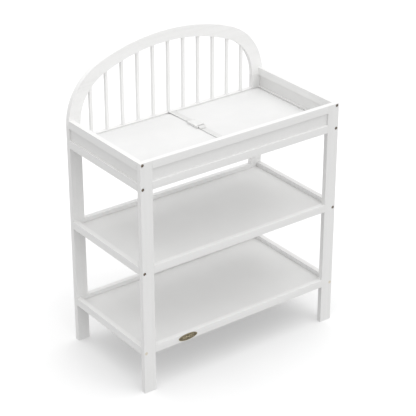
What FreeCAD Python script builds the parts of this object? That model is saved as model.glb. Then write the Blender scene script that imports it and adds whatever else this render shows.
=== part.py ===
"""Changing table: a painted wooden stand with a slatted arch back, a panelled tray and two shelves.

Millimetres. The origin is on the floor at the middle of the footprint: X runs along the table,
-Y is the front and Z is up. "left" and "right" are seen from the front.
"""
import FreeCAD, Part
import math
import os
import re
import Sketcher

# name, value, what it is
SIZES = [
    ("table_width", 860, "over the outer faces of the posts"),
    ("table_depth", 458, "over the front and back faces of the posts"),
    ("rail_top_height", 896, "floor to the top of the tray and of the front posts"),
    ("tray_height", 106, "sides of the tray, from the lower rails' undersides to the top"),
    ("arch_foot_drop", 24, "foot of the arch below the top of the tray"),
    ("arch_rise", 268, "foot to crown of the arch"),
    ("crown_radius", 780, "outer radius of the arch's flat crown"),
    ("crown_band", 45, "depth of the arch at its crown"),
    ("post_width", 49, "posts and the feet of the arch"),
    ("stock_thickness", 19, "all framing lumber"),
    ("rail_height", 30, "all rails"),
    ("middle_rail_base", 471.5, "underside of the middle shelf's rails"),
    ("lower_rail_base", 153.5, "underside of the lower shelf's rails"),
    ("board_thickness", 6, "shelf boards and tray deck"),
    ("board_seat", 7.5, "underside of a board above the underside of its rails"),
    ("tongue_length", 4, "board edge inside the rails' grooves"),
    ("tongue_margin", 20, "where a tongue stops short of the posts"),
    ("panel_thickness", 6, "panels between the tray's rails"),
    ("panel_tongue", 5, "panel edge inside the rails' grooves"),
    ("fit_gap", 0.15, "play between a tongue or tenon and its groove"),
    ("slat_width", 11, "square slats of the back"),
    ("slat_end_gap", 48.5, "middle of an outermost slat to its post"),
    ("slat_tenon", 8, "slat inside the tray's back rail"),
    ("arch_tenon", 12, "slat inside the arch"),
    ("edge_round", 1.2, "eased edges of the lumber"),
    ("dowel_radius", 4, "beech dowels"),
    ("dowel_reach", 15, "dowel in each of its two pieces"),
    ("dowel_near", 7, "first dowel above the plain face of a rail"),
    ("dowel_far", 19, "second dowel above the plain face of a rail"),
    ("foot_dowel_near", 8, "first arch dowel from the inner edge of the post"),
    ("foot_dowel_far", 20, "second arch dowel from the inner edge of the post"),
    ("bolt_radius", 3, "M6 shank"),
    ("bolt_play", 0.25, "between the shank and its hole"),
    ("bolt_reach", 25, "bolt inside the rail"),
    ("bolt_rise", 9.5, "bolt above the underside of a rail"),
    ("top_bolt_drop", 8, "uppermost bolt below the top of the tray"),
    ("head_radius", 5, "socket head"),
    ("head_height", 6, "socket head"),
    ("hex_radius", 2.9, "hexagon socket, to its corners"),
    ("hex_depth", 3.2, "hexagon socket"),
    ("sink_radius", 6, "counterbore for the head"),
    ("sink_depth", 7, "counterbore for the head"),
    ("insert_radius", 4.5, "threaded insert in the end of a side rail"),
    ("insert_length", 13, "threaded insert"),
    ("thread_play", 0.05, "between the bolt and the insert's bore"),
    ("cap_thickness", 0.8, "caps over the lowest bolts"),
    ("pad_thickness", 18, "foam pad"),
    ("pad_side_gap", 2, "pad to the side rails"),
    ("pad_end_gap", 3, "pad to the front and back rails"),
    ("pad_corner", 12, "corners of the pad in plan"),
    ("pad_round", 5, "upper and lower edges of the pad"),
    ("strap_width", 25, "webbing"),
    ("strap_thickness", 1.6, "webbing"),
    ("strap_lift", 0.6, "webbing above the pad"),
    ("strap_drop", 12, "webbing down the side of the pad"),
    ("strap_fold", 18, "webbing turned back on itself and sewn"),
    ("buckle_place", 6, "buckle to the right of the middle"),
    ("buckle_setback", 57, "buckle behind the middle"),
    ("buckle_width", 38, "side-release buckle"),
    ("buckle_half", 30, "middle of the buckle to each end"),
    ("buckle_split", 8, "mouth of the socket in front of the middle"),
    ("buckle_height", 9, "both halves"),
    ("buckle_lift", 0.3, "buckle above the pad"),
    ("buckle_corner", 4, "corners of the buckle in plan"),
    ("buckle_round", 1.2, "upper and lower edges of the buckle"),
    ("buckle_wall", 2, "roof and floor of the socket"),
    ("buckle_play", 0.3, "between the two halves"),
    ("cavity_width", 30, "inside of the socket"),
    ("cavity_depth", 22, "inside of the socket"),
    ("window_start", 6, "side window behind the socket's mouth"),
    ("window_length", 11, "side window"),
    ("guide_width", 8, "middle tongue of the clip"),
    ("guide_length", 18, "middle tongue of the clip"),
    ("arm_width", 3.8, "springy arms of the clip"),
    ("arm_length", 19.5, "springy arms of the clip"),
    ("arm_inset", 1.2, "arm inside the cavity's side"),
    ("lobe_inset", 0.6, "squeezed lobe inside the buckle's side"),
    ("bar_radius", 1.5, "bars that the webbing turns round"),
    ("bar_inset", 1.7, "middle of a bar from the buckle's end"),
    ("bar_height", 3.6, "middle of a bar above the buckle's underside"),
    ("bar_play", 0.2, "between a bar and its webbing"),
    ("slot_length", 6.5, "slot for the webbing"),
    ("slot_play", 0.5, "between the webbing and each end of its slot"),
    ("badge_width", 80, "oval badge"),
    ("badge_height", 25.5, "oval badge"),
    ("badge_thickness", 1.2, "plate of the badge"),
    ("badge_place", 242, "badge to the left of the middle"),
    ("badge_rim", 1.6, "raised border of the badge"),
    ("badge_relief", 0.4, "height of the border above the plate"),
    ("pin_radius", 1, "pins that hold the badge"),
    ("pin_length", 7, "pins that hold the badge"),
    ("pin_spread", 30, "pins from the middle of the badge"),
]
NAMES = {name for name, value, note in SIZES}

SLATS_EACH_WAY = 5
SLATS = range(-SLATS_EACH_WAY, SLATS_EACH_WAY + 1)
SIDES = {"left": -1, "right": 1}
ENDS = {"front": -1, "back": 1}

# The arch: two shoulders that rise straight from its feet, and a flatter crown that runs on from them.
HALF_WIDTH = "(table_width / 2)"
SHOULDER = (f"((2 * crown_radius * arch_rise - {HALF_WIDTH}^2 - arch_rise^2)"
            f" / (2 * (crown_radius - {HALF_WIDTH})))")
SHOULDER_X = f"({HALF_WIDTH} - {SHOULDER})"
INNER_SHOULDER = f"({SHOULDER} - post_width)"
INNER_RISE = "(arch_rise - crown_band)"
INNER_CROWN = (f"(({SHOULDER_X}^2 + {INNER_RISE}^2 - {INNER_SHOULDER}^2)"
               f" / (2 * ({INNER_RISE} - {INNER_SHOULDER})))")
CROWN_DROP = f"({INNER_CROWN} - {INNER_RISE})"
CROWN_END = f"({INNER_CROWN} * {SHOULDER_X} / sqrt({SHOULDER_X}^2 + {CROWN_DROP}^2))"

# Heights and spans that several pieces share.
SPAN_X = "(table_width - 2 * post_width)"
SPAN_Y = "(table_depth - 2 * stock_thickness)"
INSIDE_X = "(table_width - 2 * stock_thickness)"
RAIL_X = "((table_width - stock_thickness) / 2)"
RAIL_Y = "((table_depth - stock_thickness) / 2)"
SLAT_PITCH = f"(({SPAN_X} / 2 - slat_end_gap) / {SLATS_EACH_WAY})"
ARCH_FOOT = "(rail_top_height - arch_foot_drop)"
TRAY_BASE = "(rail_top_height - tray_height)"
PAD_BASE = f"({TRAY_BASE} + board_seat + board_thickness)"
PAD_TOP = f"({PAD_BASE} + pad_thickness)"
TOP_BOLT = "(rail_top_height - top_bolt_drop)"
BOLT_HEIGHTS = {
    "lower": "(lower_rail_base + bolt_rise)",
    "middle": "(middle_rail_base + bolt_rise)",
    "tray": f"({TRAY_BASE} + bolt_rise)",
    "top": TOP_BOLT,
}
TRAY_TOP_BASE = "(rail_top_height - rail_height)"

os.makedirs("parts", exist_ok=True)
document = FreeCAD.newDocument("changing_table")
sheet = document.addObject("Spreadsheet::Sheet", "Sizes")
for row, (name, value, note) in enumerate(SIZES, start=1):
    sheet.set(f"A{row}", name)
    sheet.set(f"B{row}", str(value))
    sheet.set(f"C{row}", note)
    sheet.setAlias(f"B{row}", name)
document.recompute()

subparts = []


def formula(text):
    """Put the sheet's name in front of each size in an expression."""
    return re.sub(r"[a-z_]+", lambda word: f"Sizes.{word[0]}" if word[0] in NAMES else word[0], text)


def value_of(text):
    """The present value of an expression."""
    return float(sheet.evalExpression(formula(text)))


def bind(item, **sizes):
    """Bind properties of an object to expressions of the sheet's sizes."""
    for name, text in sizes.items():
        item.setExpression(name, formula(text))


def place(item, point, direction=(0, 0, 1)):
    """Turn an object's own Z to a direction and bind its place to the sheet."""
    turn = FreeCAD.Rotation(FreeCAD.Vector(0, 0, 1), FreeCAD.Vector(*direction))
    item.Placement = FreeCAD.Placement(FreeCAD.Vector(), turn)
    for axis, text in zip("xyz", point):
        item.setExpression("Placement.Base." + axis, formula(text))


def new_body(label, point):
    """A sub-part: a body with its own frame at the given point."""
    body = document.addObject("PartDesign::Body", label)
    body.Label = label
    place(body, point)
    subparts.append(body)
    return body


def box(body, kind, size, middle):
    """Add or cut a block: size along X, Y and Z, placed by the middle of its underside."""
    item = body.newObject(f"PartDesign::{kind}Box", "block")
    bind(item, Length=size[0], Width=size[1], Height=size[2])
    place(item, (f"{middle[0]} - ({size[0]}) / 2", f"{middle[1]} - ({size[1]}) / 2", middle[2]))
    return item


def rod(body, kind, radius, length, start, direction):
    """Add or cut a cylinder that starts at a point and runs in a direction."""
    item = body.newObject(f"PartDesign::{kind}Cylinder", "rod")
    bind(item, Radius=radius, Height=length)
    place(item, start, direction)
    return item


def ease(body, radius, chosen):
    """Round the edges of a body that pass a test."""
    document.recompute()
    base = body.Tip
    edges = [f"Edge{number}" for number, edge in enumerate(base.Shape.Edges, start=1) if chosen(edge)]
    fillet = body.newObject("PartDesign::Fillet", "eased")
    fillet.Base = (base, edges)
    bind(fillet, Radius=radius)


def runs_along(axis):
    """A test for straight edges along an axis, 0 for X to 2 for Z."""
    def test(edge):
        return edge.Curve.TypeId == "Part::GeomLine" and abs(edge.tangentAt(edge.FirstParameter)[axis]) > 0.99
    return test


def sketch_on(body, plane):
    """A sketch on one of the body's own origin planes."""
    sketch = body.newObject("Sketcher::SketchObject", "outline")
    role = [item for item in body.Origin.OriginFeatures if item.Role == plane][0]
    sketch.AttachmentSupport = [(role, "")]
    sketch.MapMode = "FlatFace"
    return sketch


def bolt_holes(body, heights, x, end):
    """Counterbored holes through the thickness, sunk from the outer face."""
    outer = f"{end} * stock_thickness / 2"
    for height in heights:
        mouth = (x, outer, height)
        rod(body, "Subtractive", "bolt_radius + bolt_play", "stock_thickness", mouth, (0, -end, 0))
        rod(body, "Subtractive", "sink_radius", "sink_depth", mouth, (0, -end, 0))


def make_post(end_name, side_name):
    """A post: bolt holes near its outer edge and dowel holes in its inner edge."""
    end, side = ENDS[end_name], SIDES[side_name]
    body = new_body(f"post_{end_name}_{side_name}",
                    (f"{side} * (table_width - post_width) / 2", f"{end} * {RAIL_Y}", "0"))
    top = "rail_top_height" if end_name == "front" else ARCH_FOOT
    box(body, "Additive", ("post_width", "stock_thickness", top), ("0", "0", "0"))

    def eased_edge(edge):
        at_top = edge.BoundBox.ZMin > value_of(top) - 1
        return runs_along(2)(edge) or (end_name == "front" and at_top)

    ease(body, "edge_round", eased_edge)
    levels = [BOLT_HEIGHTS[level] for level in ("lower", "middle", "tray")]
    if end_name == "front":
        levels.append(TOP_BOLT)
    bolt_holes(body, levels, f"{side} * (post_width - stock_thickness) / 2", end)
    for height in dowel_heights(end_name):
        rod(body, "Subtractive", "dowel_radius", "dowel_reach", (f"{-side} * post_width / 2", "0", height),
            (side, 0, 0))
    if end_name == "back":
        for inset in ("foot_dowel_near", "foot_dowel_far"):
            rod(body, "Subtractive", "dowel_radius", "dowel_reach",
                (f"{-side} * (post_width / 2 - {inset})", "0", ARCH_FOOT), (0, 0, -1))


def dowel_heights(end_name):
    """Heights of the dowels in one post, two for each rail that meets it."""
    heights = []
    for base in ("lower_rail_base", "middle_rail_base", TRAY_BASE):
        heights += [f"({base} + dowel_near)", f"({base} + dowel_far)"]
    if end_name == "front":
        heights += ["(rail_top_height - dowel_near)", "(rail_top_height - dowel_far)"]
    return heights


def make_arch():
    """The arch: a band between three outer and three inner arcs, mortised for the slats."""
    body = new_body("arch", ("0", RAIL_Y, ARCH_FOOT))
    sketch = sketch_on(body, "XZ_Plane")
    shoulder_x = value_of(SHOULDER_X)
    rings = [(value_of(SHOULDER), value_of("crown_radius"), value_of("arch_rise")),
             (value_of(INNER_SHOULDER), value_of(INNER_CROWN), value_of(INNER_RISE))]
    for shoulder, crown, rise in rings:
        turn = math.atan2(crown - rise, shoulder_x)
        for x, z, radius, start, end in ((shoulder_x, 0, shoulder, 0, turn),
                                         (0, rise - crown, crown, turn, math.pi - turn),
                                         (-shoulder_x, 0, shoulder, math.pi - turn, math.pi)):
            circle = Part.Circle(FreeCAD.Vector(x, z, 0), FreeCAD.Vector(0, 0, 1), radius)
            sketch.addGeometry(Part.ArcOfCircle(circle, start, end), False)
    for side in (1, -1):
        feet = [FreeCAD.Vector(side * (shoulder_x + ring[0]), 0, 0) for ring in rings]
        sketch.addGeometry(Part.LineSegment(*feet), False)

    start, end, centre = 1, 2, 3
    origin, across, vertical = -1, -1, -2
    for ring in (0, 3):
        sketch.addConstraint(Sketcher.Constraint("Tangent", ring, end, ring + 1, start))
        sketch.addConstraint(Sketcher.Constraint("Tangent", ring + 1, end, ring + 2, start))
        sketch.addConstraint(Sketcher.Constraint("Equal", ring, ring + 2))
        sketch.addConstraint(Sketcher.Constraint("Horizontal", ring, start, ring, centre))
        sketch.addConstraint(Sketcher.Constraint("Horizontal", ring + 2, end, ring + 2, centre))
    sketch.addConstraint(Sketcher.Constraint("Symmetric", 0, centre, 2, centre, vertical))
    sketch.addConstraint(Sketcher.Constraint("Coincident", 3, centre, 0, centre))
    sketch.addConstraint(Sketcher.Constraint("Coincident", 5, centre, 2, centre))
    for line, edge in ((6, start), (7, end)):
        sketch.addConstraint(Sketcher.Constraint("Coincident", line, start, 0 if line == 6 else 2, edge))
        sketch.addConstraint(Sketcher.Constraint("Coincident", line, end, 3 if line == 6 else 5, edge))
    sketch.addConstraint(Sketcher.Constraint("PointOnObject", 0, centre, across))
    driven = [(Sketcher.Constraint("DistanceX", origin, 1, 0, centre, shoulder_x), SHOULDER_X),
              (Sketcher.Constraint("Radius", 0, rings[0][0]), SHOULDER),
              (Sketcher.Constraint("Radius", 1, rings[0][1]), "crown_radius"),
              (Sketcher.Constraint("Radius", 3, rings[1][0]), INNER_SHOULDER),
              (Sketcher.Constraint("Radius", 4, rings[1][1]), INNER_CROWN)]
    for constraint, text in driven:
        number = sketch.addConstraint(constraint)
        sketch.setExpression(f"Constraints[{number}]", formula(text))

    pad = body.newObject("PartDesign::Pad", "band")
    pad.Profile = sketch
    pad.Midplane = True
    bind(pad, Length="stock_thickness")
    ease(body, "edge_round", lambda edge: edge.Curve.TypeId == "Part::GeomCircle")
    for number in SLATS:
        height = f"({slat_end(number)} + fit_gap)"
        size = ("slat_width + 2 * fit_gap", "slat_width + 2 * fit_gap", height)
        box(body, "Subtractive", size, (f"{number} * {SLAT_PITCH}", "0", "0"))
    for side in SIDES.values():
        bolt_holes(body, ["(arch_foot_drop - top_bolt_drop)"], f"{side} * {RAIL_X}", 1)
        for inset in ("foot_dowel_near", "foot_dowel_far"):
            rod(body, "Subtractive", "dowel_radius", "dowel_reach",
                (f"{side} * ({SPAN_X} / 2 + {inset})", "0", "0"), (0, 0, 1))


def slat_end(number):
    """A slat's upper end, inside the arch, above the arch's feet."""
    x = f"({abs(number)} * {SLAT_PITCH})"
    under_crown = f"-{CROWN_DROP} + sqrt({INNER_CROWN}^2 - {x}^2)"
    under_shoulder = f"sqrt({INNER_SHOULDER}^2 - ({x} - {SHOULDER_X})^2)"
    return f"(({x} < {CROWN_END} ? {under_crown} : {under_shoulder}) + arch_tenon)"


def make_slat(number):
    """A square slat from the tray's back rail into the arch."""
    base = f"({TRAY_BASE} + rail_height - slat_tenon)"
    body = new_body(f"slat_{number + SLATS_EACH_WAY + 1:02d}",
                    (f"{number} * {SLAT_PITCH}", RAIL_Y, base))
    height = f"{ARCH_FOOT} + {slat_end(number)} - {base}"
    box(body, "Additive", ("slat_width", "slat_width", height), ("0", "0", "0"))
    ease(body, "edge_round", runs_along(2))


def make_long_rail(label, end, base, dowels, board=True, panel=None):
    """A rail between two posts, along X. A panel sits in its top, its underside or nowhere."""
    body = new_body(label, ("0", f"{end} * {RAIL_Y}", base))
    box(body, "Additive", (SPAN_X, "stock_thickness", "rail_height"), ("0", "0", "0"))
    ease(body, "edge_round", runs_along(0))
    for side in SIDES.values():
        for height in dowels:
            rod(body, "Subtractive", "dowel_radius", "dowel_reach", (f"{side} * {SPAN_X} / 2", "0", height),
                (-side, 0, 0))
    if board:
        size = (f"{SPAN_X} - 2 * tongue_margin + 2 * fit_gap", "2 * (tongue_length + fit_gap)",
                "board_thickness + 2 * fit_gap")
        box(body, "Subtractive", size, ("0", f"{-end} * stock_thickness / 2", "board_seat - fit_gap"))
    if panel:
        bottom = "rail_height - panel_tongue - fit_gap" if panel == "top" else "0"
        size = (SPAN_X, "panel_thickness + 2 * fit_gap", "panel_tongue + fit_gap")
        box(body, "Subtractive", size, ("0", "0", bottom))
    return body


def make_side_rail(label, side, base, bolt, board=True, panel=None):
    """A rail between a front and a back post, along Y, with a threaded insert in each end."""
    body = new_body(label, (f"{side} * {RAIL_X}", "0", base))
    box(body, "Additive", ("stock_thickness", SPAN_Y, "rail_height"), ("0", "0", "0"))
    ease(body, "edge_round", runs_along(1))
    for end in ENDS.values():
        mouth = ("0", f"{end} * {SPAN_Y} / 2", bolt)
        rod(body, "Subtractive", "insert_radius", "insert_length", mouth, (0, -end, 0))
        rod(body, "Subtractive", "bolt_radius + bolt_play", "bolt_reach + 2", mouth, (0, -end, 0))
    if board:
        size = ("2 * (tongue_length + fit_gap)", f"{SPAN_Y} - 2 * tongue_margin + 2 * fit_gap",
                "board_thickness + 2 * fit_gap")
        box(body, "Subtractive", size, (f"{-side} * stock_thickness / 2", "0", "board_seat - fit_gap"))
    if panel:
        bottom = "rail_height - panel_tongue - fit_gap" if panel == "top" else "0"
        size = ("panel_thickness + 2 * fit_gap", SPAN_Y, "panel_tongue + fit_gap")
        box(body, "Subtractive", size, ("0", "0", bottom))


def make_board(label, base):
    """A thin board held by tongues in the grooves of its four rails."""
    body = new_body(label, ("0", "0", f"{base} + board_seat"))
    for length, width in ((f"{INSIDE_X} - 2 * fit_gap", f"{SPAN_Y} - 2 * fit_gap"),
                          (f"{INSIDE_X} + 2 * tongue_length", f"{SPAN_Y} - 2 * tongue_margin"),
                          (f"{SPAN_X} - 2 * tongue_margin", f"{SPAN_Y} + 2 * tongue_length")):
        box(body, "Additive", (length, width, "board_thickness"), ("0", "0", "0"))


def make_panel(label, point, length, along_x):
    """A thin panel between the upper and lower rails of one side of the tray."""
    body = new_body(label, (*point, f"{TRAY_BASE} + rail_height - panel_tongue"))
    height = "tray_height - 2 * rail_height + 2 * panel_tongue"
    plan = (length, "panel_thickness") if along_x else ("panel_thickness", length)
    box(body, "Additive", (*plan, height), ("0", "0", "0"))


def make_pad():
    """The foam pad that fills the tray."""
    body = new_body("changing_pad", ("0", "0", PAD_BASE))
    size = (f"{INSIDE_X} - 2 * pad_side_gap", f"{SPAN_Y} - 2 * pad_end_gap", "pad_thickness")
    box(body, "Additive", size, ("0", "0", "0"))
    ease(body, "pad_corner", runs_along(2))
    ease(body, "pad_round", lambda edge: edge.BoundBox.ZLength < 0.01)


def make_strap(end_name):
    """Webbing from the side of the pad to one end of the buckle, turned back round its bar."""
    end = ENDS[end_name]
    body = new_body(f"strap_{end_name}", ("buckle_place", "0", PAD_TOP))
    loop = "(bar_radius + bar_play + strap_thickness)"
    bar = f"(buckle_setback + {end} * (buckle_half - bar_inset))"
    edge = f"({end} * ({SPAN_Y} / 2 - pad_end_gap + strap_lift))"
    low = "strap_lift"
    middle = "(buckle_lift + bar_height)"
    box(body, "Additive", ("strap_width", f"{end} * ({edge} - {bar}) + strap_thickness", "strap_thickness"),
        ("0", f"({bar} + {edge} + {end} * strap_thickness) / 2", low))
    box(body, "Additive", ("strap_width", "strap_thickness", "strap_drop + strap_lift + strap_thickness"),
        ("0", f"{edge} + {end} * strap_thickness / 2", "-strap_drop"))
    box(body, "Additive", ("strap_width", "strap_fold", "strap_thickness"),
        ("0", f"{bar} + {end} * (strap_fold / 2 + bar_radius + bar_play + strap_thickness / 2)",
         "strap_lift + strap_thickness"))
    for kind, radius in (("Additive", loop), ("Subtractive", "bar_radius + bar_play")):
        rod(body, kind, radius, "strap_width", ("-strap_width / 2", bar, middle), (1, 0, 0))


def buckle_half(label, end, start):
    """One half of the buckle, from its joint to its end, with the bar and slot for the webbing."""
    body = new_body(label, ("buckle_place", "buckle_setback", f"{PAD_TOP} + buckle_lift"))
    length = f"(buckle_half - {end} * ({start}))"
    box(body, "Additive", ("buckle_width", length, "buckle_height"),
        ("0", f"({end} * buckle_half + ({start})) / 2", "0"))
    ease(body, "buckle_corner", runs_along(2))
    ease(body, "buckle_round", lambda edge: edge.BoundBox.ZLength < 0.01)
    box(body, "Subtractive", ("strap_width + 2 * slot_play", "slot_length", "buckle_height"),
        ("0", f"{end} * (buckle_half - slot_length / 2)", "0"))
    half = "(strap_width / 2 + slot_play + 1)"
    rod(body, "Additive", "bar_radius", f"2 * {half}",
        (f"-{half}", f"{end} * (buckle_half - bar_inset)", "bar_height"), (1, 0, 0))
    return body


def make_buckle():
    """The socket, the clip that slides out of it, and the clip's two springy arms."""
    socket = buckle_half("buckle_socket", 1, "-buckle_split")
    inner_height = "buckle_height - 2 * buckle_wall"
    box(socket, "Subtractive", ("cavity_width", "cavity_depth", inner_height),
        ("0", "cavity_depth / 2 - buckle_split", "buckle_wall"))
    box(socket, "Subtractive", ("buckle_width + 2", "window_length", inner_height),
        ("0", "window_start + window_length / 2 - buckle_split", "buckle_wall"))

    joint = "(-buckle_split - buckle_play)"
    clip = buckle_half("buckle_clip", -1, joint)
    bottom = "buckle_wall + buckle_play"
    thickness = "buckle_height - 2 * buckle_wall - 2 * buckle_play"
    box(clip, "Additive", ("guide_width", "guide_length", thickness),
        ("0", f"{joint} + guide_length / 2", bottom))

    arms = new_body("buckle_clip_arms", ("buckle_place", "buckle_setback", f"{PAD_TOP} + buckle_lift"))
    outer = "(cavity_width / 2 - arm_inset)"
    lobe = "(window_length - 2 * buckle_play)"
    for side in (-1, 1):
        box(arms, "Additive", ("arm_width", "arm_length", thickness),
            (f"{side} * ({outer} - arm_width / 2)", f"{joint} + arm_length / 2", bottom))
        reach = f"(buckle_width / 2 - lobe_inset - {outer} + 1)"
        box(arms, "Additive", (reach, lobe, thickness),
            (f"{side} * (buckle_width / 2 - lobe_inset - {reach} / 2)",
             "window_start + window_length / 2 - buckle_split", bottom))


def bolt_places():
    """Where the bolts enter: x, outer y, height, inward direction and level of each."""
    for end in ENDS.values():
        for side in SIDES.values():
            for level, height in BOLT_HEIGHTS.items():
                yield (f"{side} * {RAIL_X}", end, height, level)


def make_bolts():
    """Socket-head bolts, the inserts that they turn into and the caps over the lowest ones."""
    bolts = new_body("bolts", ("0", "0", "0"))
    inserts = new_body("threaded_inserts", ("0", "0", "0"))
    caps = new_body("bolt_caps", ("0", "0", "0"))
    for x, end, height, level in bolt_places():
        inward = (0, -end, 0)
        seat = f"{end} * (table_depth / 2 - sink_depth)"
        shank = "stock_thickness - sink_depth + bolt_reach"
        rod(bolts, "Additive", "bolt_radius", shank, (x, seat, height), inward)
        rod(bolts, "Additive", "head_radius", "head_height", (x, seat, height), (0, end, 0))
        socket = bolts.newObject("PartDesign::SubtractivePrism", "hexagon")
        socket.Polygon = 6
        bind(socket, Circumradius="hex_radius", Height="hex_depth")
        place(socket, (x, f"{seat} + {end} * head_height", height), inward)
        mouth = f"{end} * {SPAN_Y} / 2"
        rod(inserts, "Additive", "insert_radius", "insert_length", (x, mouth, height), inward)
        rod(inserts, "Subtractive", "bolt_radius + thread_play", "insert_length", (x, mouth, height), inward)
        if level == "lower":
            face = f"{end} * (table_depth / 2 - sink_depth + head_height)"
            rod(caps, "Additive", "sink_radius", "cap_thickness", (x, face, height), (0, end, 0))


def make_dowels():
    """Dowels between the long rails and the posts, and between the arch and the back posts."""
    body = new_body("dowels", ("0", "0", "0"))
    for side in SIDES.values():
        for end_name, end in ENDS.items():
            for height in dowel_heights(end_name):
                rod(body, "Additive", "dowel_radius", "2 * dowel_reach",
                    (f"{side} * ({SPAN_X} / 2 - dowel_reach)", f"{end} * {RAIL_Y}", height), (side, 0, 0))
        for inset in ("foot_dowel_near", "foot_dowel_far"):
            rod(body, "Additive", "dowel_radius", "2 * dowel_reach",
                (f"{side} * ({SPAN_X} / 2 + {inset})", RAIL_Y, f"{ARCH_FOOT} - dowel_reach"), (0, 0, 1))


def oval_sketch(body, inset):
    """A centred oval, smaller than the badge all round by the inset."""
    sketch = sketch_on(body, "XZ_Plane")
    spans = [f"(badge_width - 2 * {inset})", f"(badge_height - 2 * {inset})"]
    half_across, half_up = (value_of(span) / 2 for span in spans)
    ends = FreeCAD.Vector(half_across, 0, 0), FreeCAD.Vector(0, half_up, 0)
    sketch.addGeometry(Part.Ellipse(*ends, FreeCAD.Vector(0, 0, 0)), False)
    sketch.exposeInternalGeometry(0)
    major, minor, centre = 1, 2, 3
    sketch.addConstraint(Sketcher.Constraint("Coincident", 0, centre, -1, 1))
    sketch.addConstraint(Sketcher.Constraint("Horizontal", major))
    for line, span in zip((major, minor), spans):
        number = sketch.addConstraint(Sketcher.Constraint("Distance", line, value_of(span)))
        sketch.setExpression(f"Constraints[{number}]", formula(span))
    return sketch


def make_badge():
    """An oval plate with a raised border, pinned to the front rail of the lower shelf."""
    body = new_body("badge", ("-badge_place", "-table_depth / 2", "lower_rail_base + rail_height / 2"))
    plate = body.newObject("PartDesign::Pad", "plate")
    plate.Profile = oval_sketch(body, "0")
    bind(plate, Length="badge_thickness + badge_relief")
    field = body.newObject("PartDesign::Pocket", "field")
    field.Profile = oval_sketch(body, "badge_rim")
    field.Profile[0].setExpression("AttachmentOffset.Base.z", formula("badge_thickness + badge_relief"))
    bind(field, Length="badge_relief")
    for side in (-1, 1):
        rod(body, "Additive", "pin_radius", "pin_length", (f"{side} * pin_spread", "0", "0"), (0, 1, 0))


for end_name in ENDS:
    for side_name in SIDES:
        make_post(end_name, side_name)
make_arch()
for number in SLATS:
    make_slat(number)

near_pair = ("dowel_near", "dowel_far")
top_pair = ("rail_height - dowel_near", "rail_height - dowel_far")
for level, base in (("middle", "middle_rail_base"), ("lower", "lower_rail_base")):
    for end_name, end in ENDS.items():
        rail = make_long_rail(f"{level}_rail_{end_name}", end, base, near_pair)
        if (level, end_name) == ("lower", "front"):
            for side in (-1, 1):
                pin = (f"-badge_place + {side} * pin_spread", "-stock_thickness / 2", "rail_height / 2")
                rod(rail, "Subtractive", "pin_radius", "pin_length", pin, (0, 1, 0))
    for side_name, side in SIDES.items():
        make_side_rail(f"{level}_rail_{side_name}", side, base, "bolt_rise")
    make_board(f"{level}_shelf_board", base)

back_rail = make_long_rail("tray_rail_back", 1, TRAY_BASE, near_pair)
for number in SLATS:
    box(back_rail, "Subtractive",
        ("slat_width + 2 * fit_gap", "slat_width + 2 * fit_gap", "slat_tenon + fit_gap"),
        (f"{number} * {SLAT_PITCH}", "0", "rail_height - slat_tenon - fit_gap"))
make_long_rail("tray_rail_front_lower", -1, TRAY_BASE, near_pair, panel="top")
make_long_rail("tray_rail_front_upper", -1, TRAY_TOP_BASE, top_pair, board=False, panel="underside")
make_panel("tray_panel_front", ("0", f"-{RAIL_Y}"), f"{SPAN_X} - 2 * fit_gap", True)
for side_name, side in SIDES.items():
    make_side_rail(f"tray_rail_{side_name}_lower", side, TRAY_BASE, "bolt_rise", panel="top")
    make_side_rail(f"tray_rail_{side_name}_upper", side, TRAY_TOP_BASE, "rail_height - top_bolt_drop",
                   board=False, panel="underside")
    make_panel(f"tray_panel_{side_name}", (f"{side} * {RAIL_X}", "0"), f"{SPAN_Y} - 2 * fit_gap", False)
make_board("tray_deck", TRAY_BASE)

make_pad()
for end_name in ENDS:
    make_strap(end_name)
make_buckle()
make_bolts()
make_dowels()
make_badge()

document.recompute()
failed = [item.Name for item in document.Objects if {"Invalid", "Error"} & set(item.State)]
if failed:
    raise RuntimeError(f"these objects failed: {failed}")
for body in subparts:
    shape = body.Shape
    if shape.isNull() or not shape.isValid() or not shape.Solids:
        raise RuntimeError(f"{body.Label} has no valid shape")
    shape.exportStep(f"parts/{body.Label}.step")
    box_size = shape.BoundBox
    print(f"{body.Label}: {len(shape.Solids)} solid(s), {shape.Volume / 1000:.1f} cm3, "
          f"{box_size.XLength:.1f} x {box_size.YLength:.1f} x {box_size.ZLength:.1f}")
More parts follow.
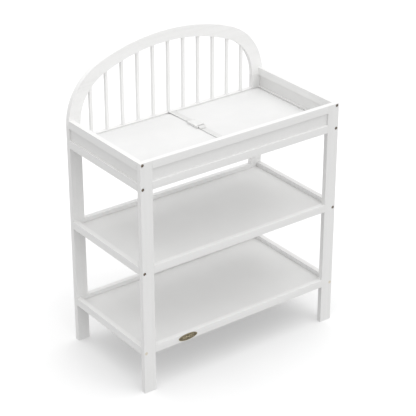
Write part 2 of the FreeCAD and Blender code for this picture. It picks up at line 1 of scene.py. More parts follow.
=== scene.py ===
"""A changing table: a white painted stand with an arched, slatted back, a panelled tray that holds a
foam pad with a safety strap across it, and two open shelves. Metres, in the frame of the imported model:
X runs along the table, -Y is the front and Z is up."""
import math
import bpy
import numpy as np
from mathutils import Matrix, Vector


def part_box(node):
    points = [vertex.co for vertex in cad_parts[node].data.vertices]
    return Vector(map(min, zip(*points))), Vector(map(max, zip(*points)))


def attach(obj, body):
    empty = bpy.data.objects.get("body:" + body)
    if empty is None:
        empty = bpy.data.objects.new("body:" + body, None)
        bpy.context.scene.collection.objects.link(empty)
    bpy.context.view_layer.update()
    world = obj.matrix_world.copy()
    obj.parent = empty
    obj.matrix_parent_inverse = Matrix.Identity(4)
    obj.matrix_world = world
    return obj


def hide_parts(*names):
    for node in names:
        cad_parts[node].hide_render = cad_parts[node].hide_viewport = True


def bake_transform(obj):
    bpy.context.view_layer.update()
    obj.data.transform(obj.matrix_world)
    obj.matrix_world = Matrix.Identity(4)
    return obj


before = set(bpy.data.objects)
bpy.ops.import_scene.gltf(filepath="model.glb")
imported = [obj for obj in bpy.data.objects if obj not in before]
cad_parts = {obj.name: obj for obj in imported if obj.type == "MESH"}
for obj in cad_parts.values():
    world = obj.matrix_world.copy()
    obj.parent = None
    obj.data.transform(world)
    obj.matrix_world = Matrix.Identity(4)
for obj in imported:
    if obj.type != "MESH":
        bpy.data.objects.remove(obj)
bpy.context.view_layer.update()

# --- The view -------------------------------------------------------------------------------------
# A long lens, above the table and to its left, so that the arch, the tray and both shelves show.
# It has no shift and no depth of field.
bpy.ops.object.camera_add(location=(-2.8675, -3.8770, 2.9752))
camera = bpy.context.object
camera.name = "long_lens"
camera.rotation_euler = Vector((0.5316, 0.7145, -0.4549)).to_track_quat("-Z", "Y").to_euler()
camera.data.lens = 128.71
camera.data.sensor_width = 36
camera.data.clip_start = 0.1
camera.data.clip_end = 60
bpy.context.scene.camera = camera

# --- The floor and the light ----------------------------------------------------------------------
# A plain pale floor in a white studio. Light comes from all round, most of it from above, with a very
# broad source overhead and a weak one in front, so that the left faces are a little darker. The floor
# throws no light back on the table, which keeps the undersides of the shelves in shade.


def start_material(name, roughness, specular=0.5):
    """A new surface finish: its node tree, its shader and the place of each point on the piece."""
    finish = bpy.data.materials.new(name)
    finish.use_nodes = True
    shader = finish.node_tree.nodes["Principled BSDF"]
    shader.inputs["Roughness"].default_value = roughness
    shader.inputs["Specular IOR Level"].default_value = specular
    place = finish.node_tree.nodes.new("ShaderNodeTexCoord")
    return finish, finish.node_tree, shader, place.outputs["Object"]


def add(tree, kind, *inputs, **settings):
    """A node with its inputs in order: one that is given as an output is linked, a value is set."""
    made = tree.nodes.new("ShaderNode" + kind)
    for key, value in settings.items():
        setattr(made, key, value)
    for socket, value in zip(made.inputs, inputs):
        if isinstance(value, bpy.types.NodeSocket):
            tree.links.new(value, socket)
        elif value is not None:
            socket.default_value = value
    return made


def noise(tree, where, stretch, detail=3.0, roughness=0.5):
    """Fractal noise, from 0 to 1, with its own scale along each axis."""
    laid = add(tree, "Mapping", where)
    laid.inputs["Scale"].default_value = stretch
    spots = add(tree, "TexNoise", laid.outputs[0])
    spots.inputs["Scale"].default_value = 1.0
    spots.inputs["Detail"].default_value = detail
    spots.inputs["Roughness"].default_value = roughness
    return spots.outputs[0]


def ramp(tree, amount, *stops):
    """Colours from stop to stop, each a position and a colour."""
    made = add(tree, "ValToRGB", amount)
    band = made.color_ramp
    while len(band.elements) < len(stops):
        band.elements.new(1.0)
    for element, (position, colour) in zip(band.elements, stops):
        element.position = position
        element.color = (*colour, 1.0)
    return made.outputs[0]


def sums(tree, kind, a, b=0.0, c=0.0):
    """One step of arithmetic on a pattern."""
    return add(tree, "Math", a, b, c, operation=kind).outputs[0]


def raise_bumps(tree, shader, height, depth, strength=1.0):
    """Lights the surface as if the pattern stood that far out of it, in metres."""
    bump = add(tree, "Bump")
    bump.inputs["Strength"].default_value = strength
    bump.inputs["Distance"].default_value = depth
    tree.links.new(height, bump.inputs["Height"])
    tree.links.new(bump.outputs[0], shader.inputs["Normal"])


floor_finish, tree, shader, where = start_material("matt_white_floor", 0.85, 0.1)
patches = ramp(tree, noise(tree, where, (3, 3, 3)),
               (0.3, (0.94, 0.94, 0.942)), (0.7, (0.955, 0.955, 0.955)))
tree.links.new(patches, shader.inputs["Base Color"])
raise_bumps(tree, shader, noise(tree, where, (160, 160, 160)), 0.0002)
bpy.ops.mesh.primitive_plane_add(size=24, location=(0, 0, 0))
floor = bpy.context.object
floor.name = "floor"
floor.data.materials.append(floor_finish)
floor.visible_diffuse = False

world = bpy.data.worlds.new("white_studio")
world.use_nodes = True
ways = world.node_tree
height = add(ways, "SeparateXYZ", ways.nodes.new("ShaderNodeTexCoord").outputs["Generated"]).outputs[2]
glow = add(ways, "MapRange", height, -0.25, 0.25, 0.50, 0.95)
ways.links.new(glow.outputs[0], ways.nodes["Background"].inputs["Strength"])
ways.nodes["Background"].inputs["Color"].default_value = (1, 1, 1, 1)
bpy.context.scene.world = world
bpy.context.scene.view_settings.view_transform = "Standard"
bpy.context.scene.view_settings.look = "None"

for name, toward, spread, strength in (("overhead_light", (0.10, -0.12, 1.0), 1.2, 0.80),
                                       ("front_light", (0.30, -1.0, 0.5), 0.9, 0.32)):
    bpy.ops.object.light_add(type="SUN", location=Vector(toward) * 6)
    broad_light = bpy.context.object
    broad_light.name = name
    broad_light.rotation_euler = Vector(toward).to_track_quat("Z", "Y").to_euler()
    broad_light.data.angle = spread
    broad_light.data.energy = strength

# --- The posts ------------------------------------------------------------------------------------
# Four posts of 19 mm poplar, 49 mm wide, with eased edges. Like all of the frame they are sprayed with
# two coats of white satin lacquer, which leaves the grain just felt and goes thin on the sharp edges.


def mixed(tree, amount, first, second):
    """The first colour, which gives way to the second as the amount goes from 0 to 1."""
    both = add(tree, "Mix", amount, data_type="RGBA")
    for socket, colour in zip(both.inputs[6:8], (first, second)):
        if isinstance(colour, bpy.types.NodeSocket):
            tree.links.new(colour, socket)
        else:
            socket.default_value = (*colour, 1)
    return both.outputs[2]


def satin_lacquer(name, grain, white=0.84):
    """White lacquer over wood whose grain runs along the given axis."""
    grey = white * np.array([0.97, 0.967, 0.957])
    cream = white * np.array([1, 0.998, 0.991])
    lacquer, tree, shader, where = start_material(name, 0.42, 0.45)
    fibres = noise(tree, where, tuple(16 if axis == grain else 520 for axis in "xyz"), 4.0, 0.65)
    boards = noise(tree, where, tuple(1.4 if axis == grain else 55 for axis in "xyz"), 3.0, 0.55)
    mist = noise(tree, where, (1500, 1500, 1500), 1.0)
    round_edge = add(tree, "Bevel", 0.0011, samples=3).outputs[0]
    flat = add(tree, "NewGeometry").outputs["True Normal"]
    alike = add(tree, "VectorMath", round_edge, flat, operation="DOT_PRODUCT").outputs["Value"]
    edge = sums(tree, "SUBTRACT", 1.0, alike)
    worn = sums(tree, "MULTIPLY", edge, sums(tree, "MULTIPLY_ADD", boards, 0.8, 0.1))
    tone = ramp(tree, sums(tree, "MULTIPLY_ADD", fibres, 0.35, sums(tree, "MULTIPLY", boards, 0.65)),
                (0.36, grey), (0.5, cream), (0.62, cream + 0.012))
    tree.links.new(mixed(tree, worn, tone, grey * 0.84), shader.inputs["Base Color"])
    gloss = add(tree, "MapRange", boards, 0.3, 0.7, 0.34, 0.48)
    tree.links.new(gloss.outputs[0], shader.inputs["Roughness"])
    height = sums(tree, "MULTIPLY_ADD", fibres, 0.8, sums(tree, "MULTIPLY", mist, 0.3))
    raise_bumps(tree, shader, height, 0.00035, 0.85)
    return lacquer


def finish_nodes(finish, *names):
    """Gives CAD nodes their finish."""
    for name in names:
        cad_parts[name].material_slots[0].material = finish


lacquer_upright = satin_lacquer("lacquer_grain_upright", "z")
finish_nodes(lacquer_upright, "post_front_left", "post_front_right", "post_back_left", "post_back_right")

# --- The slats ------------------------------------------------------------------------------------
# Eleven square poplar slats, 11 mm thick, in the same white lacquer with its grain upright. Its white is
# set lighter than on the posts: painted light for the brighter light on them. Each is tenoned into the
# back rail below and into the arch above.
lacquer_slats_painted_light = satin_lacquer("lacquer_on_slats_painted_light", "z", 0.89)
finish_nodes(lacquer_slats_painted_light, *(f"slat_{number:02d}" for number in range(1, 12)))

# --- The arch -------------------------------------------------------------------------------------
# One flat arch, sawn from a board glued up from three lengths, with its faces sanded flat and its edges
# eased. It is lacquered with the posts, and hides the ends of the slats. Its white is set lighter than
# the posts': painted light for the light that the pad throws back up on it.
finish_nodes(satin_lacquer("lacquer_on_arch_painted_light", "x", 0.90), "arch")

# --- The rails ------------------------------------------------------------------------------------
# Poplar rails, 30 mm high, that carry the shelves and frame the tray. The long ones are doweled to the
# posts and the side ones are bolted. Grooves hold the boards and the panels, and all are lacquered.
lacquer_along = satin_lacquer("lacquer_grain_along", "x")
lacquer_across = satin_lacquer("lacquer_grain_across", "y")
finish_nodes(lacquer_along, "middle_rail_front", "middle_rail_back",
             "lower_rail_front", "lower_rail_back", "tray_rail_back",
             "tray_rail_front_lower", "tray_rail_front_upper")
finish_nodes(lacquer_across, "middle_rail_left", "middle_rail_right",
             "lower_rail_left", "lower_rail_right", "tray_rail_left_lower",
             "tray_rail_left_upper", "tray_rail_right_lower", "tray_rail_right_upper")

# --- The shelf boards, the deck and the tray's panels ---------------------------------------------
# Fibreboard, 6 mm thick, held in grooves in the rails. A roller has put the white on, so the face has
# the fine pebbled skin of rolled lacquer in place of grain.


def rolled_lacquer(name):
    """White lacquer rolled on a smooth board."""
    lacquer, tree, shader, where = start_material(name, 0.45, 0.4)
    pebbles = noise(tree, where, (520, 520, 520), 2.0, 0.55)
    clouds = noise(tree, where, (5, 5, 5), 3.0, 0.5)
    tree.links.new(ramp(tree, clouds, (0.3, (0.785, 0.783, 0.776)), (0.7, (0.815, 0.814, 0.808))),
                   shader.inputs["Base Color"])
    gloss = add(tree, "MapRange", clouds, 0.3, 0.7, 0.4, 0.52)
    tree.links.new(gloss.outputs[0], shader.inputs["Roughness"])
    raise_bumps(tree, shader, pebbles, 0.00025, 0.8)
    return lacquer


lacquer_board = rolled_lacquer("lacquer_on_board")
finish_nodes(lacquer_board, "middle_shelf_board", "lower_shelf_board", "tray_deck",
             "tray_panel_front", "tray_panel_left", "tray_panel_right")

# --- The dowels -----------------------------------------------------------------------------------
# Turned beech dowels, 8 mm thick and 30 mm long. Each is glued half into one piece and half into the
# next, so the wood is left bare, with small dark flecks along its grain.
beech, tree, shader, where = start_material("bare_beech", 0.7, 0.3)
flecks = noise(tree, where, (700, 2200, 2200), 3.0)
wood = ramp(tree, flecks, (0.35, (0.40, 0.24, 0.12)), (0.45, (0.62, 0.45, 0.27)),
            (0.8, (0.70, 0.53, 0.34)))
tree.links.new(wood, shader.inputs["Base Color"])
raise_bumps(tree, shader, flecks, 0.0001)
finish_nodes(beech, "dowels")

# --- The bolts, their inserts and their caps ------------------------------------------------------
# M6 socket-head bolts in dark bronze, each drawn into a zinc-plated insert in the end of a side rail.
# Inside the sockets the colour turns to a lighter, warmer steel, which gives each head a lighter centre,
# and pale caps cover the four lowest heads.


def plated(name, low, high, roughness, metallic=1.0):
    """Plated steel with the faint mottle and fine turning marks of a plating bath."""
    steel, tree, shader, where = start_material(name, roughness)
    shader.inputs["Metallic"].default_value = metallic
    mottle = noise(tree, where, (900, 900, 900), 3.0, 0.6)
    plating = ramp(tree, mottle, (0.3, low), (0.7, high))
    tree.links.new(plating, shader.inputs["Base Color"])
    gloss = add(tree, "MapRange", mottle, 0.3, 0.7, roughness - 0.08, roughness + 0.12)
    tree.links.new(gloss.outputs[0], shader.inputs["Roughness"])
    raise_bumps(tree, shader, noise(tree, where, (4000, 300, 4000), 2.0), 0.00004)
    return steel, tree, shader, where, mottle, plating


bronze, tree, shader, where, mottle, plating = plated(
    "dark_bronze_plating", (0.11, 0.090, 0.072), (0.23, 0.19, 0.155), 0.42, 0.5)
# Deeper in than the face of each head, inside its socket, the colour turns from the dark plating to a
# lighter warm steel.
from_middle = sums(tree, "ABSOLUTE", add(tree, "SeparateXYZ", where).outputs[1])
dark_face_to, light_socket_from = 0.2275, 0.2250
worn = add(tree, "MapRange", from_middle, dark_face_to, light_socket_from, 0.0, 1.0).outputs[0]
tree.links.new(mixed(tree, worn, plating, (0.52, 0.43, 0.33)), shader.inputs["Base Color"])
finish_nodes(bronze, "bolts")

zinc = plated("zinc_plating", (0.42, 0.40, 0.33), (0.60, 0.58, 0.50), 0.36)[0]
finish_nodes(zinc, "threaded_inserts")

cap_finish, tree, shader, where = start_material("cap_moulding", 0.5)
tan = ramp(tree, noise(tree, where, (700, 700, 700)),
           (0.3, (0.70, 0.64, 0.53)), (0.7, (0.78, 0.73, 0.63)))
tree.links.new(tan, shader.inputs["Base Color"])
raise_bumps(tree, shader, noise(tree, where, (2600, 2600, 2600), 2.0), 0.00006)
finish_nodes(cap_finish, "bolt_caps")

# --- The pad --------------------------------------------------------------------------------------
# A thin slab of foam in a wipe-clean cover of coated cotton. Its two faces are sewn together round a
# corded edge, so that the cover swells a little towards its middle, and it lies loose on the deck.
PAD_LOW, PAD_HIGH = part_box("changing_pad")
DECK_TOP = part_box("tray_deck")[1].z


def only(piece):
    """Makes a piece the one that is selected and active."""
    bpy.ops.object.select_all(action="DESELECT")
    piece.select_set(True)
    bpy.context.view_layer.objects.active = piece


def settle(piece, name):
    """Names a new piece and puts its place, turn and size into its mesh."""
    only(piece)
    bpy.ops.object.transform_apply(location=True, rotation=True, scale=True)
    piece.name = piece.data.name = name


def use_modifier(piece, kind, **settings):
    """Adds a modifier and applies it."""
    only(piece)
    made = piece.modifiers.new(kind.lower(), kind)
    for key, value in settings.items():
        setattr(made, key, value)
    bpy.ops.object.modifier_apply(modifier=made.name)


def open_with(piece, parts, wanted, mode=None):
    """Opens a mesh for editing, with only the wanted ones of its points, edges or faces selected."""
    only(piece)
    bpy.ops.object.mode_set(mode="EDIT")
    if mode:
        bpy.ops.mesh.select_mode(type=mode)
    bpy.ops.mesh.select_all(action="DESELECT")
    bpy.ops.object.mode_set(mode="OBJECT")
    for part in getattr(piece.data, parts):
        part.select = wanted(part)
    bpy.ops.object.mode_set(mode="EDIT")


def bevel_where(piece, wanted, width, segments):
    """Rounds the edges that a test of their two ends picks out."""
    points = piece.data.vertices
    open_with(piece, "edges", lambda edge: wanted(*(points[end].co for end in edge.vertices)))
    bpy.ops.mesh.select_mode(type="EDGE")
    bpy.ops.mesh.bevel(offset=width, segments=segments, affect="EDGES", profile=0.5)
    bpy.ops.object.mode_set(mode="OBJECT")


def points_of(piece):
    """The points of a mesh as rows of numbers."""
    return np.array([point.co for point in piece.data.vertices], float)


def put_points(piece, points):
    """Moves the points of a mesh."""
    piece.data.vertices.foreach_set("co", points.astype(np.float32).ravel())
    piece.data.update()


foot_gap, shrunk_top, corner, rim = 0.0007, 0.0017, 0.010, 0.0024
half_x = PAD_HIGH.x + 0.0008
half_y = PAD_HIGH.y + 0.0020
base, top = PAD_LOW.z + foot_gap, PAD_HIGH.z - shrunk_top
middle = (base + top) / 2
bpy.ops.mesh.primitive_cube_add(size=1, location=(0, 0, middle),
                                scale=(2 * half_x, 2 * half_y, top - base))
pad = bpy.context.object
settle(pad, "pad_cover")
bevel_where(pad, lambda a, b: abs(a.z - b.z) > 0.005, corner, 6)
bevel_where(pad, lambda a, b: abs(a.z - b.z) < 1e-6, rim, 4)
pad.data.remesh_voxel_size = 0.006
pad.data.remesh_voxel_adaptivity = 0.0
bpy.ops.object.voxel_remesh()

# The cover is blown up as cloth, with nothing inside to hold it back as foam would. So the swell is
# scaled down, along each axis by itself, and the sideways drift of the whole slab is taken out.
SWELL = np.array([0.0004, 0.0004, 0.0019])
cloth_steps = 20
cut = points_of(pad)
cover_cloth = pad.modifiers.new("cover_cloth", "CLOTH")
cover_cloth.settings.quality = 5
cover_cloth.settings.mass = 0.3
cover_cloth.settings.tension_stiffness = 15
cover_cloth.settings.compression_stiffness = 15
cover_cloth.settings.bending_stiffness = 0.6
cover_cloth.settings.use_pressure = True
cover_cloth.settings.uniform_pressure_force = 4
cover_cloth.settings.effector_weights.gravity = 0
cover_cloth.point_cache.frame_start = 1
cover_cloth.point_cache.frame_end = cloth_steps
for step in range(1, cloth_steps + 1):
    bpy.context.scene.frame_set(step)
bpy.ops.object.modifier_apply(modifier="cover_cloth")
bpy.context.scene.frame_set(1)
moved = points_of(pad) - cut
moved -= moved.mean(axis=0) * (1, 1, 0)
moved *= SWELL / np.maximum(np.abs(moved).max(axis=0), 1e-9)
swollen = cut + moved
swollen[:, 2] = np.maximum(swollen[:, 2], DECK_TOP + 0.0002)
put_points(pad, swollen)
use_modifier(pad, "SUBSURF", levels=1, render_levels=1)

# The strap lies a little to the right of the middle, and swings sideways towards its tucked ends.
STRAP_X = 0.006
SWING_BACK, SWING_FRONT = -0.0035, 0.011


def give_way(points):
    """Where the strap is tucked down beside the pad, it draws the edge in."""
    drawn_in, reach, half_dent = 0.0041, 0.010, 0.0195
    strap_end = STRAP_X + np.where(points[:, 1] > 0, SWING_BACK, SWING_FRONT)
    beside = np.exp(-(np.abs(points[:, 0] - strap_end) / half_dent) ** 8)
    at_edge = np.clip((np.abs(points[:, 1]) - half_y + reach) / reach, 0, 1) ** 2
    points[:, 1] -= np.sign(points[:, 1]) * drawn_in * beside * at_edge


def from_edge(points):
    """How far in from the pad's outline each point lies."""
    in_x, in_y = half_x - np.abs(points[:, 0]), half_y - np.abs(points[:, 1])
    deep = np.minimum(in_x, in_y)
    near = (in_x < corner) & (in_y < corner)
    round_corner = corner - np.hypot(corner - in_x, corner - in_y)
    return np.where(near, round_corner, deep)


# The seam pulls a groove round the top face and leaves small ripples inside it, the strap presses a
# shallow hollow across it, and the side has a waist where the corded edge is caught in the seam.
seam_in, at_side, waist_depth = 0.011, 0.004, 0.0007
shape = points_of(pad)
inward = from_edge(shape)
upper = np.clip((shape[:, 2] - middle) / 0.004, 0, 1)
waist = np.exp(-((shape[:, 2] - middle) / 0.0022) ** 2) * (inward < at_side)
ripple = (np.sin(shape[:, 0] * 71 + 1.3) + np.sin(shape[:, 0] * 113 + shape[:, 1] * 17)
          + np.sin(shape[:, 1] * 83 + 0.7) + np.sin(shape[:, 1] * 131 - shape[:, 0] * 13)) / 4
soft_edge = np.exp(-np.maximum(inward, 0) / 0.016)
seam = np.exp(-((inward - seam_in) / 0.0024) ** 2)
hollow = 0.0006 * np.exp(-((shape[:, 0] - STRAP_X) / 0.022) ** 2) * (1 - soft_edge)
shape[:, 2] -= upper * (0.0005 * soft_edge + 0.0007 * seam + hollow)
calm = 1 - np.exp(-((inward - seam_in) / 0.005) ** 2)
shape[:, 2] += upper * calm * ripple * 0.0005 * np.exp(-((inward - 0.018) / 0.016) ** 2)
for axis, half in ((0, half_x), (1, half_y)):
    on_side = half - np.abs(shape[:, axis]) < at_side
    shape[:, axis] -= np.sign(shape[:, axis]) * waist * waist_depth * on_side
give_way(shape)
put_points(pad, shape)
bpy.ops.object.shade_smooth()


def coated_cotton(name, low, high):
    """Cotton with a thin soft coating, through which a fine plain weave shows faintly."""
    cloth, tree, shader, where = start_material(name, 0.62, 0.3)
    across, along = add(tree, "SeparateXYZ", where).outputs[:2]
    threads = 2 * math.pi / 0.0011
    warp = sums(tree, "SINE", sums(tree, "MULTIPLY", across, threads))
    weft = sums(tree, "SINE", sums(tree, "MULTIPLY", along, threads))
    weave = sums(tree, "MULTIPLY", warp, weft)
    slub = noise(tree, where, (240, 900, 240), 2.0)
    clouds = noise(tree, where, (9, 9, 9), 4.0, 0.55)
    tree.links.new(ramp(tree, clouds, (0.3, low), (0.7, high)), shader.inputs["Base Color"])
    gloss = add(tree, "MapRange", clouds, 0.3, 0.7, 0.55, 0.7)
    tree.links.new(gloss.outputs[0], shader.inputs["Roughness"])
    shader.inputs["Sheen Weight"].default_value = 0.15
    shader.inputs["Sheen Roughness"].default_value = 0.4
    raise_bumps(tree, shader, sums(tree, "MULTIPLY_ADD", weave, 0.35, slub), 0.00022, 0.8)
    return cloth


pad_cloth = coated_cotton("coated_cotton_cover", (0.775, 0.775, 0.772), (0.805, 0.805, 0.802))
pad.data.materials.clear()
pad.data.materials.append(pad_cloth)
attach(pad, "pad")
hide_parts("changing_pad")

# The corded edge: a bias strip folded round a thin cord and caught in the seam, half way up the side.
cord_x, cord_y = half_x - waist_depth, half_y - waist_depth
bpy.ops.mesh.primitive_circle_add(vertices=8, radius=0.0011, rotation=(0, math.pi / 2, 0),
                                  location=(-cord_x + 2 * corner, -cord_y, middle))
piping = bpy.context.object
settle(piping, "pad_piping")
bpy.ops.object.mode_set(mode="EDIT")
bpy.ops.mesh.select_all(action="SELECT")
runs = [(1, 0, cord_x), (0, 1, cord_y), (-1, 0, cord_x), (0, -1, cord_y)]
for turn, (dx, dy, half) in enumerate(runs):
    straight = 2 * (half - corner) - (0 if turn else corner)
    lengths = round(straight / 0.008)
    step = straight / lengths
    for _ in range(lengths):
        bpy.ops.mesh.extrude_region_move(TRANSFORM_OT_translate={"value": (dx * step, dy * step, 0)})
    pivot_x = (cord_x - corner) * (1, 1, -1, -1)[turn]
    pivot_y = (cord_y - corner) * (-1, 1, 1, -1)[turn]
    bpy.ops.mesh.spin(steps=6, angle=-math.pi / 2, center=(pivot_x, pivot_y, middle), axis=(0, 0, 1))
bpy.ops.mesh.extrude_region_move(TRANSFORM_OT_translate={"value": (corner, 0, 0)})
bpy.ops.mesh.select_all(action="SELECT")
bpy.ops.mesh.remove_doubles(threshold=0.0002)
bpy.ops.mesh.normals_make_consistent(inside=False)
bpy.ops.object.mode_set(mode="OBJECT")
bpy.ops.object.shade_smooth()
cord_points = points_of(piping)
give_way(cord_points)
put_points(piping, cord_points)
piping_cloth = coated_cotton("bias_strip", (0.75, 0.75, 0.745), (0.785, 0.785, 0.78))
piping.data.materials.append(piping_cloth)
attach(piping, "pad")

# --- The stitching of the pad ---------------------------------------------------------------------
# One row of stitches in white polyester thread, 11 mm in from the edge on all four sides, sewn by
# machine. It holds the cover to the foam.
thread_finish, tree, shader, where = start_material("polyester_thread", 0.5)
twist = noise(tree, where, (2500, 2500, 2500), 2.0)
strands = ramp(tree, twist, (0.3, (0.62, 0.62, 0.61)), (0.7, (0.78, 0.78, 0.77)))
tree.links.new(strands, shader.inputs["Base Color"])
raise_bumps(tree, shader, twist, 0.00005)


def sew(name, seams, length, gap, thread):
    """Rows of stitches: one thread is shaped and laid again and again along each seam."""
    rows = []
    for start, end in seams:
        start, end = Vector(start), Vector(end)
        way = (end - start).normalized()
        bpy.ops.mesh.primitive_cylinder_add(vertices=6, radius=thread, depth=length,
                                            location=start + way * length / 2,
                                            rotation=way.to_track_quat("Z", "X").to_euler())
        row = bpy.context.object
        settle(row, name)
        open_with(row, "polygons", lambda face: abs(face.normal.dot(way)) > 0.9, "FACE")
        bpy.ops.mesh.bevel(offset=thread * 0.6, segments=1)
        bpy.ops.object.mode_set(mode="OBJECT")
        bpy.ops.object.shade_smooth()
        count = max(1, int(((end - start).length + gap) / (length + gap)))
        use_modifier(row, "ARRAY", count=count, use_relative_offset=False,
                     use_constant_offset=True, constant_offset_displace=way * (length + gap))
        rows.append(row)
    only(rows[0])
    for row in rows:
        row.select_set(True)
    bpy.ops.object.join()
    rows[0].name = rows[0].data.name = name
    rows[0].data.materials.clear()
    rows[0].data.materials.append(thread_finish)
    return rows[0]


on_seam = (np.abs(from_edge(shape) - seam_in) < 0.0012) & (upper > 0.9)
seam_height = float(np.median(shape[on_seam, 2])) + 0.0001
line_x, line_y, bend = half_x - seam_in, half_y - seam_in, 0.012
end_x, end_y = line_x - bend, line_y - bend
long_seams = [((-end_x, side * line_y, seam_height), (end_x, side * line_y, seam_height))
              for side in (-1, 1)]
short_seams = [((side * line_x, -end_y, seam_height), (side * line_x, end_y, seam_height))
               for side in (-1, 1)]
pad_stitches = sew("pad_stitches", long_seams + short_seams, 0.0034, 0.0016, 0.00026)
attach(pad_stitches, "pad")

# --- The buckle -----------------------------------------------------------------------------------
# A white side-release buckle for 25 mm webbing: socket, clip and the clip's two springy arms, moulded
# in acetal with a fine spark-eroded skin whose shine varies a little from spot to spot.
acetal, tree, shader, where = start_material("moulded_acetal", 0.36, 0.5)
grains = noise(tree, where, (3600, 3600, 3600), 2.0, 0.6)
flow = noise(tree, where, (130, 40, 130), 3.0)
white = ramp(tree, flow, (0.3, (0.74, 0.74, 0.735)), (0.7, (0.79, 0.79, 0.785)))
tree.links.new(white, shader.inputs["Base Color"])
rubbed = add(tree, "MapRange", grains, 0.35, 0.65, 0.28, 0.44)
tree.links.new(rubbed.outputs[0], shader.inputs["Roughness"])
raise_bumps(tree, shader, grains, 0.00005)
finish_nodes(acetal, "buckle_socket", "buckle_clip", "buckle_clip_arms")

# --- The strap ------------------------------------------------------------------------------------
# White polypropylene webbing, 25 mm wide, in two lengths. Each turns round the bar of its half of the
# buckle, is folded back and sewn, lies across the pad and tucks down beside it at the edge.
webbing, tree, shader, where = start_material("white_webbing", 0.6, 0.35)
laid = tree.nodes.new("ShaderNodeTexCoord").outputs["UV"]
across, along = add(tree, "SeparateXYZ", laid).outputs[:2]
ridge = sums(tree, "MULTIPLY", across, 13.0)
slant = sums(tree, "PINGPONG", ridge, 0.5)
rise = sums(tree, "MULTIPLY_ADD", along, 17.0, slant)
pick = sums(tree, "SINE", sums(tree, "MULTIPLY", rise, 2 * math.pi))
cords = sums(tree, "COSINE", sums(tree, "MULTIPLY", ridge, 2 * math.pi))
weave = sums(tree, "MULTIPLY_ADD", pick, 0.45, sums(tree, "MULTIPLY", cords, 0.4))
fuzz = noise(tree, where, (1800, 1800, 1800), 2.0)
yarn = ramp(tree, sums(tree, "MULTIPLY_ADD", weave, 0.4, fuzz),
            (0.15, (0.66, 0.66, 0.652)), (0.8, (0.79, 0.79, 0.785)))
tree.links.new(yarn, shader.inputs["Base Color"])
shader.inputs["Sheen Weight"].default_value = 0.2
raise_bumps(tree, shader, sums(tree, "MULTIPLY_ADD", fuzz, 0.3, weave), 0.00022, 0.9)

half_web, web_thick, ply = 0.0125, 0.0014, 0.0016
beside_pad = PAD_HIGH.y + 0.0014
bar_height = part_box("buckle_socket")[0].z + 0.0036
wrap, tuck, across_steps = 0.0025, 0.006, 8
lie = bar_height - wrap


def lay_webbing(name, bar, way, swing):
    """One length of webbing: from its folded end round the bar and over the pad to its tucked end."""
    folded = ((0.018, lie + ply + 0.0001), (0.013, lie + ply + 0.0002), (0.009, lie + ply + 0.0008),
              (0.0055, bar_height + wrap - 0.0007), (0.0025, bar_height + wrap - 0.0001))
    path = [(bar + way * past_bar, height) for past_bar, height in folded]
    path += [(bar - way * wrap * math.sin(turn), bar_height + wrap * math.cos(turn))
             for turn in (math.pi * step / 8 for step in range(9))]
    edge = beside_pad - tuck
    length = edge - abs(bar) if way * bar > 0 else edge + abs(bar)
    steps = round(length / 0.008)
    path += [(bar + way * length * step / steps,
              lie + 0.0003 * math.sin(step * 0.9) ** 2 * min(1, step / 4))
             for step in range(1, steps)]
    path += [(way * (edge + tuck * math.sin(turn)), lie - tuck + tuck * math.cos(turn))
             for turn in (math.pi * step / 12 for step in range(7))]
    path += [(way * beside_pad, lie - 0.0095), (way * beside_pad, lie - 0.0132)]
    bpy.ops.mesh.primitive_grid_add(x_subdivisions=across_steps, y_subdivisions=1, size=2 * half_web,
                                    location=(STRAP_X, path[0][0], path[0][1]))
    strap = bpy.context.object
    strap.scale.y = 0.01
    settle(strap, name)
    open_with(strap, "vertices", lambda point: (point.co.y - path[0][0]) * way > 0, "VERT")
    bpy.ops.mesh.select_mode(type="EDGE")
    for (y0, z0), (y1, z1) in zip(path, path[1:]):
        bpy.ops.mesh.extrude_region_move(TRANSFORM_OT_translate={"value": (0, y1 - y0, z1 - z0)})
    bpy.ops.object.mode_set(mode="OBJECT")
    points = points_of(strap)
    run = np.concatenate([[0, 0], np.cumsum([math.dist(a, b) for a, b in zip(path, path[1:])])])
    along_strap = run[np.arange(len(points)) // (across_steps + 1)]
    across_strap = (points[:, 0] - STRAP_X) / (2 * half_web) + 0.5
    far = np.clip((way * (points[:, 1] - bar)) / (beside_pad - way * bar), 0, 1)
    points[:, 0] += swing * far ** 1.6
    put_points(strap, points)
    woven = strap.data.uv_layers.active or strap.data.uv_layers.new(name="woven")
    for corner_of_face in strap.data.loops:
        point = corner_of_face.vertex_index
        woven.data[corner_of_face.index].uv = (across_strap[point], along_strap[point] / (2 * half_web))
    bpy.ops.object.mode_set(mode="EDIT")
    bpy.ops.mesh.select_all(action="SELECT")
    bpy.ops.mesh.remove_doubles(threshold=0.00002)
    bpy.ops.mesh.normals_make_consistent(inside=False)
    bpy.ops.object.mode_set(mode="OBJECT")
    use_modifier(strap, "SOLIDIFY", thickness=web_thick, offset=0.0)
    use_modifier(strap, "BEVEL", width=0.0004, segments=2, limit_method="ANGLE", angle_limit=1.0)
    bpy.ops.object.shade_smooth_by_angle(angle=0.8)
    strap.data.materials.clear()
    strap.data.materials.append(webbing)
    return strap


socket_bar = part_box("buckle_socket")[1].y - 0.0017
clip_bar = 0.0287
back_webbing = lay_webbing("webbing_back", socket_bar, 1, SWING_BACK)
front_webbing = lay_webbing("webbing_front", clip_bar, -1, SWING_FRONT)
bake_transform(front_webbing)
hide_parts("strap_front")
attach(back_webbing, "pad")
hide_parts("strap_back")

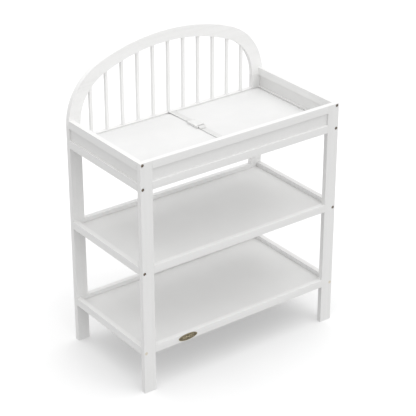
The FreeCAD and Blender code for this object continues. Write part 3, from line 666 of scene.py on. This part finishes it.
# Each fold is held by a small box of stitches with a cross in it.
sewn_height = lie + 1.5 * ply + 0.0002
box_near, box_far, half_box = 0.0112, 0.0166, 0.0098
for name, bar, way, body in (("webbing_back_stitches", socket_bar, 1, "pad"),
                             ("webbing_front_stitches", clip_bar, -1, "clip")):
    a, b, c, d = ((STRAP_X + side * half_box, bar + way * past_bar, sewn_height)
                  for side, past_bar in ((-1, box_near), (1, box_near), (1, box_far), (-1, box_far)))
    stitches = sew(name, [(a, b), (d, c), (a, d), (b, c), (a, c), (d, b)], 0.0019, 0.0006, 0.0002)
    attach(stitches, body)

# --- The badge ------------------------------------------------------------------------------------
# A pressed oval plate, 80 mm long, pinned to the lower front rail: antique bronze in its hollows and
# rubbed to gilt on the raised border. It carries a plain sprig of leaves.
BADGE_LOW, BADGE_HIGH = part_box("badge")
plate_face = BADGE_LOW.y + 0.0004
antique, tree, shader, where, mottle, plating = plated(
    "antique_bronze", (0.080, 0.070, 0.045), (0.20, 0.172, 0.115), 0.42, 0.8)
depth = add(tree, "SeparateXYZ", where).outputs[1]
proud = add(tree, "MapRange", depth, plate_face - 0.0001, plate_face - 0.0003, 0.0, 1.0).outputs[0]
gilt = ramp(tree, mottle, (0.3, (0.31, 0.26, 0.15)), (0.7, (0.62, 0.54, 0.37)))
tree.links.new(mixed(tree, proud, plating, gilt), shader.inputs["Base Color"])
finish_nodes(antique, "badge")

middle_x, middle_z = (BADGE_LOW.x + BADGE_HIGH.x) / 2, (BADGE_LOW.z + BADGE_HIGH.z) / 2
leaf_lean, leaf_step, from_stem = math.radians(34), 0.0072, 0.0032
leaves = []
for number in range(-3, 4):
    # The leaves stand in pairs on each side of a single one in the middle.
    for tilt in (-1, 1) if number else (1,):
        length = 0.0058 - 0.0006 * abs(number)
        off_stem = tilt * from_stem if number else 0
        spot = (middle_x + number * leaf_step, plate_face, middle_z + off_stem)
        bpy.ops.mesh.primitive_uv_sphere_add(segments=12, ring_count=8, radius=1, location=(0, 0, 0),
                                             scale=(length, 0.00038, length * 0.36))
        leaf = bpy.context.object
        settle(leaf, "badge_leaf")
        outline = points_of(leaf)
        tip = np.abs(outline[:, 0]) / length
        outline[:, 2] *= 1 - 0.55 * tip ** 2
        outline[:, 2] += 0.10 * length * (1 - tip ** 2) * np.sign(number) * tilt
        put_points(leaf, outline)
        leaf.rotation_euler = (0, -tilt * leaf_lean * np.sign(number), 0)
        leaf.location = spot
        settle(leaf, "badge_leaf")
        leaves.append(leaf)
bpy.ops.mesh.primitive_cylinder_add(vertices=8, radius=0.0003, depth=0.056, rotation=(0, math.pi / 2, 0),
                                    location=(middle_x, plate_face, middle_z))
stem = bpy.context.object
settle(stem, "badge_sprig")
bevel_where(stem, lambda a, b: abs(a.x - b.x) < 1e-6, 0.00012, 2)
only(stem)
for leaf in leaves:
    leaf.select_set(True)
bpy.ops.object.join()
bpy.ops.object.shade_smooth()
stem.data.materials.clear()
stem.data.materials.append(antique)
stem.name = stem.data.name = "badge_sprig"
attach(stem, "stand")
